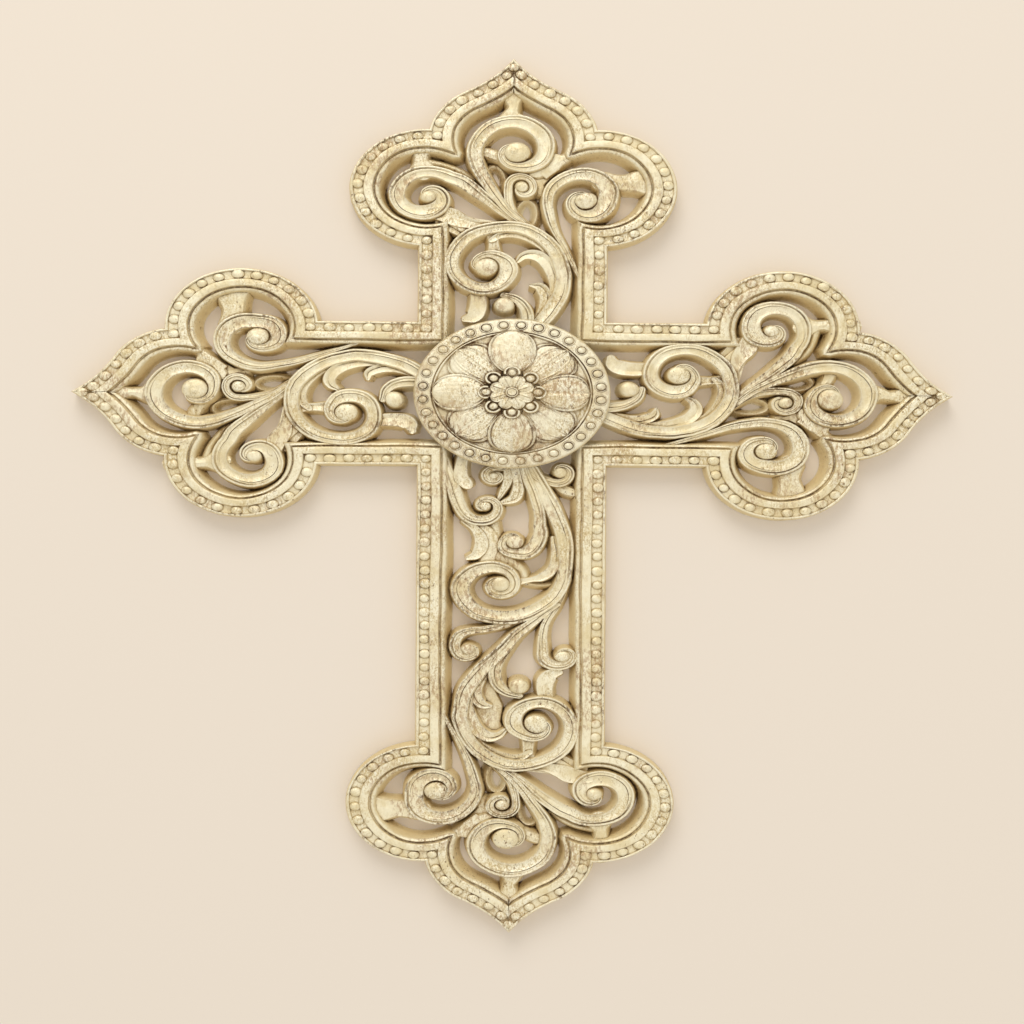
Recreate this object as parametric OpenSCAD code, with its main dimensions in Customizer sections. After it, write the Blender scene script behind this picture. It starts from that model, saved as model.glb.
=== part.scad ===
// Ornamental openwork wall cross with an applied oval medallion.
// The cross hangs flat on a wall. X runs across it, Z up, and its back is the
// plane y = 0 with the ornament facing -Y. The origin is the mouth of the nail
// hole in the back of the top point.
//
// The pattern is drawn round, in pattern units, and then laid out by `scale_x`
// across and `scale_z` up, which gives the cross its low, broad look.

/* [Overall] */
// width over the points of the side arms
span = 439; // [360:1:520]
// height of the pattern against its width
rise = 0.76; // [0.7:0.01:0.9]
// how much longer the foot arm is than the others, pattern units
foot_extra = 133; // [110:1:165]
// thickness at the rim and the flat of the frame
frame_t = 11.6; // [9.5:0.1:15]
// thickness of the scrolls
scroll_t = 9.6; // [8:0.1:12]
// thickness of the webs and the wide foot of every scroll
web_t = 5.4; // [4:0.1:7]

/* [Frame] */
// half width of an arm over the frame
arm_half = 47.4; // [45:0.1:52]
// width of the frame from its outer edge to the groove inside it
band_w = 12.8; // [10.5:0.1:15.5]
// width of the raised outer rim
rim_w = 1.6; // [1:0.1:2.5]
// width of the beaded channel, rim included
channel_w = 7.6; // [6:0.1:9]
// depth of the beaded channel
channel_d = 1.2; // [0.6:0.1:2]
// width of the lower ledge inside the frame
ledge_w = 3; // [2:0.1:4]
// radius of the two side lobes of an arm end
lobe_r = 38.8; // [36:0.1:41]
// how far the side lobes stand off the arm axis
lobe_off = 43; // [40:0.5:46]
// distance of the side lobes from the crossing
lobe_out = 134.3; // [131:0.1:137]
// radius of each side of the pointed end lobe
tip_r = 36.8; // [34:0.1:38]
// distance of the pointed end lobe from the crossing
tip_out = 166; // [162:0.5:168]
// distance of the points from the crossing
point_out = 219.5; // [215:0.5:225]

/* [Scrolls] */
// draft of the casting: how much wider the foot of a scroll is on each side
draft = 1.1; // [0.5:0.1:1.6]
// height of the bosses at the eyes of the scrolls above the scrolls
boss_h = 1.3; // [0.5:0.1:2.5]
// radius of the plain hub behind the medallion
hub_r = 36; // [30:0.5:42]

/* [Medallion] */
// radius of the medallion across the cross
medallion_r = 48.7; // [40.5:0.1:58]
// thickness of the medallion at its edge
medallion_edge = 3.4; // [2.5:0.1:5]
// how far the middle of the medallion rises above its edge
medallion_dome = 4.6; // [3:0.1:7]
// width of the beaded border of the medallion
border_w = 9; // [7.5:0.1:11]
// number of beads in the border
border_beads = 32; // [24:4:40]
// height of the petals above the dish they lie in
petal_h = 2.2; // [1.2:0.1:3]

/* [Hanging] */
// diameter of the nail hole
nail_d = 5; // [4:0.1:6]
// depth of the nail hole
nail_deep = 7; // [5:0.1:8.5]
// drop from the top point to the middle of the nail hole
nail_drop = 7.3; // [6.5:0.1:8.5]

/* [Hidden] */
scale_x = span / 439;
scale_z = scale_x * rise;
nail_z = point_out * scale_z - nail_drop;
foot_k = foot_extra / 133;
seat_y = frame_t;
// each layer of a casting is sunk this deep in the one below it
lap = 1;
// how far the frame's edge steps in at each layer, from the side to the rim
edge_steps = [0.4, 0.7, 0.9];
// how far the flat of the frame steps in from its inner edge at each layer
lip_steps = [0.3, 0.5];

// ---- drawing aids -------------------------------------------------------

// one point t along a smooth curve between b and c, with a and d beyond them
function blend(a, b, c, d, t) =
    0.5 * (2 * b + (c - a) * t + (2 * a - 5 * b + 4 * c - d) * t * t
        + (3 * b - a - 3 * c + d) * t * t * t);

// smooth curve through the knots, n steps to a knot
function curve(k, n) = let (m = len(k) - 1) concat(
    [for (i = [0:m - 1], j = [0:n - 1])
        blend(i > 0 ? k[i - 1] : 2 * k[0] - k[1], k[i], k[i + 1],
            i + 2 <= m ? k[i + 2] : 2 * k[m] - k[m - 1], j / n)], [k[m]]);

// stations of a coil: each knot is [angle about the eye, radius, width]
function coil(eye, k) = [for (p = curve(k, 4))
    [eye[0] + p[1] * cos(p[0]), eye[1] + p[1] * sin(p[0]), p[2]]];

// unit normal of the stations at i
function across(s, i) = let (a = s[max(i - 1, 0)], b = s[min(i + 1, len(s) - 1)],
    d = norm([b[0] - a[0], b[1] - a[1]])) [(a[1] - b[1]) / d, (b[0] - a[0]) / d];

// the edge of the stations, f half widths to the left of the middle plus e
function edge(s, i, f, e = 0) = let (q = across(s, i), w = s[i][2] / 2 * f + e)
    [s[i][0] + q[0] * w, s[i][1] + q[1] * w];

// flat band over the stations between two edges
module band(s, f0 = 1, f1 = -1, e0 = 0, e1 = 0)
    for (i = [0:len(s) - 2])
        polygon([edge(s, i, f0, e0), edge(s, i + 1, f0, e0),
            edge(s, i + 1, f1, e1), edge(s, i, f1, e1)]);

module disc(c, r, n = 14) translate(c) circle(r, $fn = n);

// the pattern laid out as a plate from t0 to t1 in front of the wall
module plate(t0, t1) translate([0, 0, -nail_z]) rotate([90, 0, 0])
    translate([0, 0, t0]) linear_extrude(t1 - t0)
        offset(delta = 0.02) scale([scale_x, scale_z]) children();

// the four arm ends: tip up, left, right and down on the long foot
module ends(turns = [0, 90, 180, 270]) for (a = turns)
    translate([0, a == 180 ? -foot_extra : 0]) rotate(a) children();

// ---- scrolls of one arm end, tip up ------------------------------------

tip_scroll = concat(
    curve([[5, 112, 3.5], [-2, 119.5, 4.5], [-8.5, 129.5, 5.5], [-14.5, 140.5, 7]], 2),
    coil([2, 158], [[200, 21.8, 8], [145, 20.9, 8.6], [90, 20, 9], [0, 14.2, 9],
        [-90, 7.4, 7.4], [-180, 5.2, 5]]));
left_scroll = concat(
    curve([[0, 113, 3], [-8, 121.5, 5], [-16.5, 130.5, 7], [-24.5, 137.5, 8]], 2),
    coil([-42, 128.5], [[50, 16.4, 8], [90, 16.6, 7.6], [180, 15.4, 9], [270, 9.8, 10],
        [345, 7.2, 8], [430, 5, 5]]));
right_scroll = concat(
    curve([[29.5, 86, 2.5], [25.5, 96, 3.5], [21, 107, 4.5], [18.2, 118, 5.5]], 2),
    coil([36.5, 126.5], [[180, 19.2, 6.2], [90, 17, 9], [0, 11.2, 10], [-90, 9.2, 9.5], [-170, 5.2, 6]]));
bud_scroll = concat(
    curve([[8, 110, 2.5], [3, 115.5, 3], [-0.5, 121, 4], [-2.5, 128, 4.5]], 2),
    coil([4.2, 136], [[180, 6, 4.6], [90, 5.4, 4.6], [0, 5.2, 4.6], [-80, 4.6, 4]]));
arm_scroll = concat(
    curve([[-13, 14, 5], [-3, 24, 6.5], [6.8, 37.3, 7.6], [16.3, 50, 8.4], [22, 61.5, 8.8],
        [24.4, 72.5, 9]], 2),
    coil([-12.3, 83], [[0, 36.9, 9], [50, 29.8, 8.5], [90, 24.8, 8], [135, 18.5, 8.2],
        [180, 14.2, 8.4], [225, 12.8, 8.4], [283, 14, 8], [311, 14, 8.6], [342, 11.8, 8.6],
        [374, 8.6, 7.6], [410, 8, 6], [450, 7.4, 5], [500, 6.5, 4]]));
ball_sprig = curve([[-6, 22, 4], [0, 30, 5], [4.5, 39, 6], [5.5, 49, 6.5], [3.5, 57.5, 5.5],
    [-0.5, 62, 4.5], [-5, 63.5, 3]], 2);
leaves = [
    [[-10, 107, 8], [-9.5, 100, 6.5], [-9, 92, 8]],
    [[-8, 103.5, 5], [0, 104, 6], [9, 101, 6], [16, 96, 5], [21, 89, 4]],
    [[6, 90, 4], [11, 91.3, 7.5], [16.5, 88, 7.5], [20, 80, 6], [21, 70, 4]],
    [[9.5, 71.5, 2.5], [13.5, 70.5, 6], [16.5, 65, 7], [16.5, 58, 7], [13, 49, 6]],
    [[-17, 67, 8], [-17.5, 59, 7], [-19.5, 53, 8], [-24, 49, 5]],
    [[-38, 119, 6], [-30, 116.5, 9], [-23, 112.5, 6], [-14, 110, 4]]];
ties = [
    [[0, 181, 9], [0, 187, 5.5], [0, 193, 6.5], [0, 201, 14]],
    [[-45.5, 147, 9], [-45.5, 153, 6.5], [-46, 158, 9], [-46, 164, 15]],
    [[-44, 153, 5], [-35, 150, 4], [-27, 145.5, 4], [-21, 141, 3]],
    [[46, 138, 10], [53, 137.5, 9.5], [60, 138.5, 10], [68, 140, 15]],
    [[13, 147, 7], [20, 150, 7], [28, 157, 5]],
    [[5, 146, 5], [10.5, 141.5, 6], [14, 134, 4]]];
end_bosses = [[2, 158, 4.6], [-42, 128.5, 4], [36.5, 126.5, 4.6], [4.2, 136, 3],
    [-12.3, 83, 4.8], [-2.5, 58.3, 5.2]];

module end_scrolls() {
    for (s = [tip_scroll, left_scroll, right_scroll, bud_scroll, arm_scroll, ball_sprig]) band(s);
    for (l = leaves) band(curve(l, 2));
    for (b = end_bosses) disc([b[0], b[1]], b[2]);
}

module end_webs() {
    for (t = ties) band(curve(t, 2));
    difference() {
        polygon([[-17, 161], [-4, 159], [-5, 151], [3, 146], [-3, 142], [-5, 134], [-11, 127], [-17, 141]]);
        translate([-7.5, 143]) scale([0.42, 1]) circle(6.5, $fn = 12);
    }
    difference() {
        polygon([[0, 128], [12, 134], [15, 124], [16, 112], [6, 111]]);
        translate([8, 120]) scale([0.55, 1]) circle(6.5, $fn = 12);
    }
}

// ---- scrolls of the long foot -------------------------------------------

function low(k) = [for (p = k) [p[0], -46 + (p[1] + 46) * foot_k, p[2]]];

foot_scrolls = [
    concat(curve([[-34, -42, 6], [-30, -57, 7.5], [-27.3, -68, 7.5]], 2),
        coil([-13, -73.5], [[192, 11.8, 7.2], [230, 10.6, 7], [270, 9.2, 6.5], [360, 6.2, 5],
            [450, 4.4, 3.5], [540, 3.4, 3]])),
    concat(curve([[0, -42, 5], [-3.5, -47.5, 5]], 2),
        coil([-8.5, -53.5], [[90, 4.4, 4.5], [180, 4, 4.5], [270, 3.6, 4.5], [330, 3, 4]])),
    concat(curve([[4.5, -42, 4], [7.5, -55, 5], [11, -65, 5.5], [13.8, -76, 6]], 2),
        coil([2, -96.5], [[40, 15.8, 6.5], [0, 11.4, 8.2], [-45, 9.2, 8.2], [-90, 7.6, 6.6],
            [-150, 7.4, 5], [-200, 5.8, 3.6], [-250, 5, 2.5]])),
    concat(curve([[7, -42, 5], [12.5, -55, 7], [17.5, -67, 8], [22, -79, 8.5], [25.5, -91, 8.5],
            [27.3, -103, 7.8]], 2),
        coil([-5.5, -124.5], [[16, 33.6, 7.4], [-13, 28.6, 8], [-40, 24, 8.6], [-90, 21.6, 9],
            [-123, 21.2, 9.2], [-170, 19.6, 9.6], [-206, 16.6, 9.4], [-239, 13, 8.6],
            [-290, 9.4, 7], [-360, 6.9, 6], [-450, 6.9, 5.4], [-540, 5.3, 4]])),
    concat(curve([[6, -42, 3], [9.5, -50.5, 4], [14, -55, 5]], 2),
        coil([24, -51], [[225, 8, 5], [270, 6.4, 5.4], [350, 4.8, 5], [435, 3.6, 4]])),
    concat(curve([[25, -135, 3], [18.5, -147, 4], [15.8, -158, 5]], 2),
        coil([25.5, -171.5], [[165, 10, 6], [195, 8.8, 6.4], [225, 7.4, 6.6], [270, 6, 6],
            [350, 4.8, 5], [430, 4, 4]])),
    concat(curve([[4, -149, 3], [-5, -152.5, 4]], 2),
        coil([-21, -167], [[62, 14, 4.4], [85, 11.6, 5], [110, 10.2, 5.8], [150, 7.6, 6],
            [190, 6, 6], [235, 5.8, 5.4], [285, 5, 4.4], [340, 4, 3.5]]))];
foot_leaves = [
    [[-24, -40, 6], [-25, -48, 7], [-25, -55, 8.5], [-22.5, -59, 7.5]],
    [[-1, -42, 6], [-1.5, -50, 6], [-2, -58, 5], [-4, -64, 3.5], [-6, -68.5, 2]],
    [[1, -46, 5], [3, -57, 5], [3.4, -64, 6.5], [1.5, -68.5, 6], [-4, -71, 3]],
    [[21, -94, 3], [22.5, -105, 5], [21, -114, 6], [16, -119.5, 6], [10, -121.5, 3.5], [3, -123, 5]],
    [[-24, -84, 4], [-18.5, -90, 6], [-16, -97, 7], [-17, -103, 6], [-20.5, -106, 3]]];
foot_bosses = [[-13, -73.5, 3], [-8.5, -53.5, 2.4], [2, -96.5, 4.6], [-5.5, -124.5, 4.8],
    [24, -51, 3.6], [25.5, -171.5, 4], [-21, -167, 3.8]];

module foot_ornament() {
    for (s = foot_scrolls) band(low(s));
    for (l = foot_leaves) band(low(curve(l, 2)));
    for (b = low(foot_bosses)) disc([b[0], b[1]], b[2]);
}

module foot_webs() {
    polygon([for (p = low([[-20, -87, 0], [-8, -84, 0], [-6.5, -92, 0], [-7, -102, 0],
        [0, -107, 0], [7, -113, 0], [9, -121, 0], [3, -118, 0], [-3, -111, 0], [-12, -110, 0],
        [-18, -107, 0], [-14, -100, 0], [-14, -94, 0]])) [p[0], p[1]]]);
    translate([25.5, -46 - 15.5 * foot_k]) circle(4, $fn = 14);
    // the leafy field inside the lowest scroll is left closed
    translate([0, -foot_extra]) rotate(180)
        polygon([[2, 90], [12, 92], [21, 80], [21, 62], [14, 50], [8, 60], [4, 72], [5, 82]]);
}

// ---- frame --------------------------------------------------------------

module tip_side(m) mirror([m, 0]) {
    n = 8;
    a1 = 64;
    p = [6 + tip_r * cos(a1), tip_out + tip_r * sin(a1)];
    polygon(concat([[0, lobe_out - 10], [30, lobe_out - 10]],
        [for (i = [0:n]) let (a = -12 + (a1 + 12) * i / n) [6 + tip_r * cos(a), tip_out + tip_r * sin(a)]],
        [for (i = [1:5]) let (t = i / 5) [p[0] * (1 - t) - 0.8 * sin(180 * t),
            p[1] + (point_out - p[1]) * t - 1.6 * sin(180 * t)]]));
}

// the whole outline: four arms, each ending in two round lobes and a point
module outline() {
    translate([-arm_half, -foot_extra - lobe_out]) square([2 * arm_half, foot_extra + 2 * lobe_out]);
    translate([-lobe_out, -arm_half]) square([2 * lobe_out, 2 * arm_half]);
    ends() {
        for (m = [0, 1]) {
            tip_side(m);
            mirror([m, 0]) translate([lobe_off, lobe_out]) circle(lobe_r, $fn = 44);
        }
    }
}

// the outline drawn in by d
module inside(d) offset(delta = -d) outline();

module frame_ring(d0, d1) difference() {
    if (d0 > 0) inside(d0); else outline();
    inside(d1);
}

// ---- the pieces -----------------------------------------------------------

// Cast iron, one piece: the beaded frame and all the scrollwork inside it.
module cross_casting() color("wheat") difference() {
    union() {
        plate(0, web_t) intersection() {
            outline();
            union() {
                frame_ring(0, band_w + ledge_w);
                offset(delta = draft) { ends() end_scrolls(); foot_ornament(); }
                ends() end_webs();
                foot_webs();
                circle(hub_r, $fn = 32);
            }
        }
        plate(web_t - 2 * lap, scroll_t) difference() {
            inside(edge_steps[0]);
            difference() {
                inside(band_w);
                ends() end_scrolls();
                foot_ornament();
            }
        }
        plate(scroll_t - lap, frame_t - channel_d) frame_ring(edge_steps[1], band_w - lip_steps[0]);
        plate(frame_t - channel_d - 0.6 * lap, frame_t) {
            frame_ring(edge_steps[2], edge_steps[2] + rim_w);
            frame_ring(channel_w, band_w - lip_steps[1]);
        }
        plate(scroll_t - lap, scroll_t + boss_h) {
            ends() for (b = end_bosses) disc([b[0], b[1]], b[2] - 0.6);
            for (b = low(foot_bosses)) disc([b[0], b[1]], b[2] - 0.5);
        }
        plate(web_t - lap, frame_t) circle(hub_r - 3, $fn = 32);
    }
    // nail hole
    rotate([90, 0, 0]) translate([0, 0, -1]) cylinder(h = nail_deep + 1, d = nail_d, $fn = 48);
}

// Face of the medallion: height over its seat at pattern radius r and angle a.
bead_pitch = 360 / border_beads;
mid_r = medallion_r - border_w / 2;
function hump(x) = x >= 1 || x <= -1 ? 0 : sqrt(1 - x * x);
function petal(r, a, r0, r1, w) = let (
    x = (r * cos(a) - (r0 + r1) / 2) / ((r1 - r0) / 2), y = r * sin(a) / (w / 2))
    r * cos(a) < 0 ? 0 : hump(min(1, sqrt(x * x * x * x + y * y)));
function near(a, step) = a - step * round(a / step);
function dome(r) = medallion_edge + medallion_dome * (1 - pow(r / medallion_r, 2));
function face(r, a) = let (
    f = medallion_r / 48.7,
    bead = hump(norm([r - mid_r, mid_r * near(a, bead_pitch) * PI / 180]) / (2.7 * f)),
    front = petal(r, near(a, 90), 12 * f, 39 * f, 22 * f),
    back = petal(r, near(a - 45, 90), 12 * f, 38.5 * f, 22 * f),
    knob = hump(norm([r - 13.4 * f, 13.4 * f * near(a, 45) * PI / 180]) / (2.7 * f)),
    eye = r < 9 * f ? 0.5 + 0.5 * hump(r / (9 * f)) : 0)
    r > medallion_r - 1.6 ? dome(r) : r > medallion_r - border_w + 1 ? dome(r) - 0.9 + 1.4 * bead :
    r > medallion_r - border_w - 1 ? dome(r) + 0.2 :
    dome(r) - 1.2 + max(petal_h * pow(front, 0.6), 0.6 * petal_h * pow(back, 0.6), 1.6 * knob, 1.8 * eye);

// Cast iron: oval, domed, eight petals about a rosette within a beaded border.
module medallion() {
    n = border_beads * 4;
    f = medallion_r / 48.7;
    rings = concat([for (i = [1:11]) i * 3.45 * f],
        [medallion_r - border_w, medallion_r - border_w + 1.6, mid_r - 1.5 * f, mid_r,
            mid_r + 1.5 * f, medallion_r - 1.9, medallion_r - 1.2, medallion_r]);
    m = len(rings);
    function at(i, j) = let (a = 360 * j / n, r = rings[min(i, m - 1)])
        [r * cos(a) * scale_x,
            i == m ? -seat_y : i == m - 1 ? -seat_y - medallion_edge + 0.6 : -seat_y - face(r, a),
            r * sin(a) * scale_z - nail_z];
    function v(i, j) = 1 + i * n + j % n;
    color("khaki") polyhedron(
        concat([[0, -seat_y - face(0, 0) - 0.6, -nail_z]], [for (i = [0:m], j = [0:n - 1]) at(i, j)]),
        concat([for (j = [0:n - 1]) [0, v(0, j), v(0, j + 1)]],
            [for (i = [0:m - 1], j = [0:n - 1], k = [0, 1])
                k == 0 ? [v(i, j), v(i + 1, j), v(i + 1, j + 1)] : [v(i, j), v(i + 1, j + 1), v(i, j + 1)]],
            [[for (j = [n - 1:-1:0]) v(m, j)]]), convexity = 4);
}

cross_casting();
medallion();
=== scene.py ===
import bpy, bmesh, math, random
import numpy as np
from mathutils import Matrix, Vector, noise as hmath


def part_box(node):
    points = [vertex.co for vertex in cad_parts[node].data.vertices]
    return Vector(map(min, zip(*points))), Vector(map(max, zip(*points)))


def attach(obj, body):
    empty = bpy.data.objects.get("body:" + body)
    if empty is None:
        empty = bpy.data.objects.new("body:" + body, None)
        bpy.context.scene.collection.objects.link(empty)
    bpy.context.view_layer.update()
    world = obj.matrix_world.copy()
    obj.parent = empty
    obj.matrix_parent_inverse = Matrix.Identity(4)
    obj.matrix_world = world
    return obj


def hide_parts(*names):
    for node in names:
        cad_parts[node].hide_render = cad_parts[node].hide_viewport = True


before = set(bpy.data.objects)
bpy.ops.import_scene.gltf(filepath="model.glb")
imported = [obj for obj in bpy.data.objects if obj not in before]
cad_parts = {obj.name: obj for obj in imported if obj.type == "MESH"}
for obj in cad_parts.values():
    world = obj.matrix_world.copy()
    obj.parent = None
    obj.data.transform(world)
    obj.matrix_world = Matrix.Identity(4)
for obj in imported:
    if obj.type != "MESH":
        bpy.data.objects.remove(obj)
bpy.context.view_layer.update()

bpy.ops.object.select_all(action="DESELECT")
random.seed(7)
hmath.seed_set(7)

# ---------------------------------------------------------------- frame band
# The outer frame of the cross, part of the one iron casting: a thin outer rim,
# a channel for the beads, a flat inner band, a dark groove, and a rounded
# ledge that falls away to the back as a drafted wall.
SPAN = 439.0                                # the pattern's width; all pattern sizes are in mm
TALL = 572.0                                # its height, before it is drawn in to the real height
TIP = 219.5                                 # from the centre to the point of an arm
FOOT = 133.0                                # how much longer the foot arm is
NECK = 47.4                                 # half the width of an arm
FRONT = 11.6                                # from the wall to the face of the frame
LOBE, LOBE_R = (43.0, 134.3), 38.8          # the round lobe at each side of an arm end
SHOULDER, SHOULDER_R = (6.0, 166.0), 36.8   # the round shoulder under its point
INNER_EDGE = 12.6                           # from the outer edge to the inside of the band
LOBE_STEPS = 40
STRAIGHT_STEPS = 12

cast_lo, cast_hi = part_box("cross_casting")
mid_x = (cast_lo.x + cast_hi.x) / 2
unit_x = (cast_hi.x - cast_lo.x) / SPAN
unit_z = (cast_hi.z - cast_lo.z) / TALL
mid_z = cast_hi.z - TIP * unit_z
unit_h = (cast_hi.y - cast_lo.y) / FRONT

# the pattern of one arm, s across it and r out along it, turned on to each of the four
ARM_TURNS = [
    lambda s, r: (s, r),
    lambda s, r: (-r, s),
    lambda s, r: (-s, -r - FOOT),
    lambda s, r: (r, -s)]


def lay(x, z, h):
    """a point of the pattern, h above the wall, laid out on the cross"""
    return (mid_x + x * unit_x, cast_hi.y - h * unit_h, mid_z + z * unit_z)


def arc(centre, r, a0, a1, n, steps):
    """points round a centre, at the given steps out of n"""
    turns = [a0 + (a1 - a0) * i / n for i in steps]
    return [(centre[0] + r * math.cos(t), centre[1] + r * math.sin(t)) for t in turns]


def straight(p, q, n):
    """the points between p and q, in n steps, without its ends"""
    return [(p[0] + (q[0] - p[0]) * i / n, p[1] + (q[1] - p[1]) * i / n) for i in range(1, n)]


def cusp(d):
    """where the lobe meets the shoulder, both drawn in by d"""
    (lx, lz), (tx, tz) = LOBE, SHOULDER
    r0, r1 = LOBE_R - d, SHOULDER_R - d
    gap = math.hypot(tx - lx, tz - lz)
    along = (r0 * r0 - r1 * r1 + gap * gap) / (2 * gap)
    up = math.sqrt(max(r0 * r0 - along * along, 0))
    ux, uz = (tx - lx) / gap, (tz - lz) / gap
    return (lx + ux * along + uz * up, lz + uz * along - ux * up)


def ogee(t):
    """the hollow curve from the shoulder, at t = 0, to the point, at t = 1"""
    leave = math.radians(64)
    px, pz = SHOULDER[0] + SHOULDER_R * math.cos(leave), SHOULDER[1] + SHOULDER_R * math.sin(leave)
    s = math.sin(math.pi * t)
    return px * (1 - t) - 0.8 * s, pz + (TIP - pz) * t - 1.6 * s


def end_contour(d):
    """right half of one arm end, neck to point, drawn in by d; tip up"""
    cx, cz = cusp(min(d, INNER_EDGE))
    past = max(d - INNER_EDGE, 0)
    cx, cz = cx - past * 0.45, cz - past * 0.55
    (lx, lz), (tx, tz) = LOBE, SHOULDER
    neck = -math.acos(max(-1, min(1, (NECK - d - lx) / (LOBE_R - d))))
    pts = arc(LOBE, LOBE_R - d, neck, math.atan2(cz - lz, cx - lx), LOBE_STEPS, range(LOBE_STEPS))
    pts.append((cx, cz))
    turn = math.atan2(cz - tz, cx - tx)
    pts += arc(SHOULDER, SHOULDER_R - d, turn, math.radians(64), 16, range(1, 17))
    for i in range(1, 12):
        t = i / 12
        x, z = ogee(t)
        x1, z1 = ogee(t + 0.01)
        x0, z0 = ogee(t - 0.01)
        l = math.hypot(x1 - x0, z1 - z0)
        pts.append((max(x - d * (z1 - z0) / l, 0.02 * (12 - i)), z + d * (x1 - x0) / l))
    pts.append((0.0, TIP - d * 1.38))
    return pts


def contour(d):
    """the whole closed outline drawn in by d, counter-clockwise, and where its corners come"""
    half = end_contour(d)
    end = half + [(-x, z) for x, z in half[-2::-1]]
    point = len(half) - 1
    a = NECK - d
    corner = [(-a, a), (-a, -a), (a, -a), (a, a)]
    out, marks = [], []
    for k in range(4):
        leg = [ARM_TURNS[k](s, r) for s, r in end]
        n = STRAIGHT_STEPS * (2 if k == 2 else 1)
        marks.append(len(out))
        out += [corner[k - 1]] + straight(corner[k - 1], leg[0], n)
        marks += [len(out) + i for i in (0, LOBE_STEPS, point, 2 * point - LOBE_STEPS, 2 * point)]
        out += leg + straight(leg[-1], corner[k], n)
    return out, marks


def new_piece(name, verts, faces):
    """a closed mesh with its faces turned outwards"""
    me = bpy.data.meshes.new(name)
    me.from_pydata(verts, [], faces)
    me.validate()
    o = bpy.data.objects.new(name, me)
    bpy.context.scene.collection.objects.link(o)
    bm = bmesh.new()
    bm.from_mesh(me)
    bmesh.ops.recalc_face_normals(bm, faces=bm.faces)
    bm.to_mesh(me)
    bm.free()
    return o


def waver(x, z):
    """the small unevenness of a hand-finished pattern"""
    return (0.28 * math.sin(x * 0.071 + z * 0.043 + 1.3) + 0.16 * math.sin(z * 0.19 + x * 0.11),
            0.28 * math.sin(z * 0.063 - x * 0.052 + 0.4) + 0.16 * math.sin(x * 0.17 - z * 0.13))


# (distance in from the outer edge, height above the wall)
frame_section = [
    (0.0, 0.0), (0.2, 8.4), (0.6, 10.3), (1.0, 11.05), (1.6, 11.2), (2.1, 10.9), (2.4, 10.2),
    (4.7, 9.95), (7.0, 10.15), (7.3, 10.8), (7.7, 11.4), (8.4, 11.6), (9.9, 11.5), (11.2, 11.6),
    (11.75, 11.35), (12.0, 10.8), (12.2, 9.9), (12.6, 9.75), (12.9, 10.1), (13.6, 10.4), (14.5, 10.15),
    (15.2, 9.4), (15.7, 7.8), (16.7, 4.4), (18.2, 0.0)]
verts, faces = [], []
for d, h in frame_section:
    inward = min(1.0, d / 3.0)
    for x, z in contour(d)[0]:
        wx, wz = waver(x, z)
        verts.append(lay(x + wx * inward, z + wz * inward, h))
m = len(frame_section)
n = len(verts) // m
for k in range(m):
    l = (k + 1) % m
    for i in range(n):
        j = (i + 1) % n
        faces.append((k * n + i, l * n + i, l * n + j, k * n + j))
frame_band = new_piece("frame_band", verts, faces)

# ---------------------------------------------------------------- frame beads
# The row of round pearls in the channel, cast with the frame: one at every
# corner, cusp and point, the rest spaced evenly between, none quite alike.
BEAD_LINE = 4.75        # from the outer edge to the middle of the channel
BEAD_GAP = 9.1
bead_rings = [(3.15, 8.4), (3.2, 9.8), (3.0, 10.45), (2.5, 10.95), (1.6, 11.3), (0.7, 11.42), (0, 11.45)]

path, marks = contour(BEAD_LINE)
bead_places = []
for a, b in zip(marks, marks[1:] + [len(path)]):
    leg = [path[i % len(path)] for i in range(a, b + 1)]
    run = [0.0]
    for p, q in zip(leg, leg[1:]):
        run.append(run[-1] + math.hypot(q[0] - p[0], q[1] - p[1]))
    n = max(1, round(run[-1] / BEAD_GAP))
    for i in range(n):
        t = run[-1] * i / n
        j = max(0, min(len(run) - 2, int(np.searchsorted(run, t, side="right")) - 1))
        f = (t - run[j]) / max(run[j + 1] - run[j], 1e-9)
        (x0, z0), (x1, z1) = leg[j], leg[j + 1]
        bead_places.append((x0 + (x1 - x0) * f, z0 + (z1 - z0) * f))


def skirt(a, b, n):
    """the faces between two rings of n points, the first starting at a and the second at b"""
    return [(a + i, a + (i + 1) % n, b + (i + 1) % n, b + i) for i in range(n)]


def turned(name, centre, rings, seg=20):
    """a closed little turned solid, from rings of (radius, height), foot to crown"""
    around = [2 * math.pi * i / seg for i in range(seg)]
    v = [(centre[0] + r * math.cos(t), centre[1] + r * math.sin(t), h) for r, h in rings[:-1] for t in around]
    v.append((centre[0], centre[1], rings[-1][1]))
    f = [tuple(range(seg - 1, -1, -1))]
    last = (len(rings) - 2) * seg
    for low in range(0, last, seg):
        f += skirt(low, low + seg, seg)
    f += [(last + i, last + (i + 1) % seg, len(v) - 1) for i in range(seg)]
    return [(name, v, f)]


def cast(solids, place):
    """makes each solid of (name, points, faces) a closed piece, its points put where place says"""
    return [new_piece(name, [place(*p) for p in v], f) for name, v, f in solids]


bits = []
for x, z in bead_places:
    size = random.uniform(0.88, 1.1)
    centre = (x + random.uniform(-0.35, 0.35), z + random.uniform(-0.35, 0.35))
    bits += cast(turned("frame_bead", centre, [(r * size, h) for r, h in bead_rings], 12), lay)

# ---------------------------------------------------------------- scrollwork
# The scrolls of one arm end, cast in one with the frame and repeated on all
# four arms. Each is a tapering ribbon with a thin reed along its outer edge,
# a groove inside the reed, a dished face, and drafted walls to the back.
LEVEL = 9.5             # height of a ribbon's face over the wall
LONGEST_TURN = 200.0    # degrees that one stretch of ribbon may wind


def blend(a, b, c, d, t):
    square, cube = 2 * a - 5 * b + 4 * c - d, 3 * b - a - 3 * c + d
    return 0.5 * (2 * b + (c - a) * t + square * t * t + cube * t ** 3)


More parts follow.
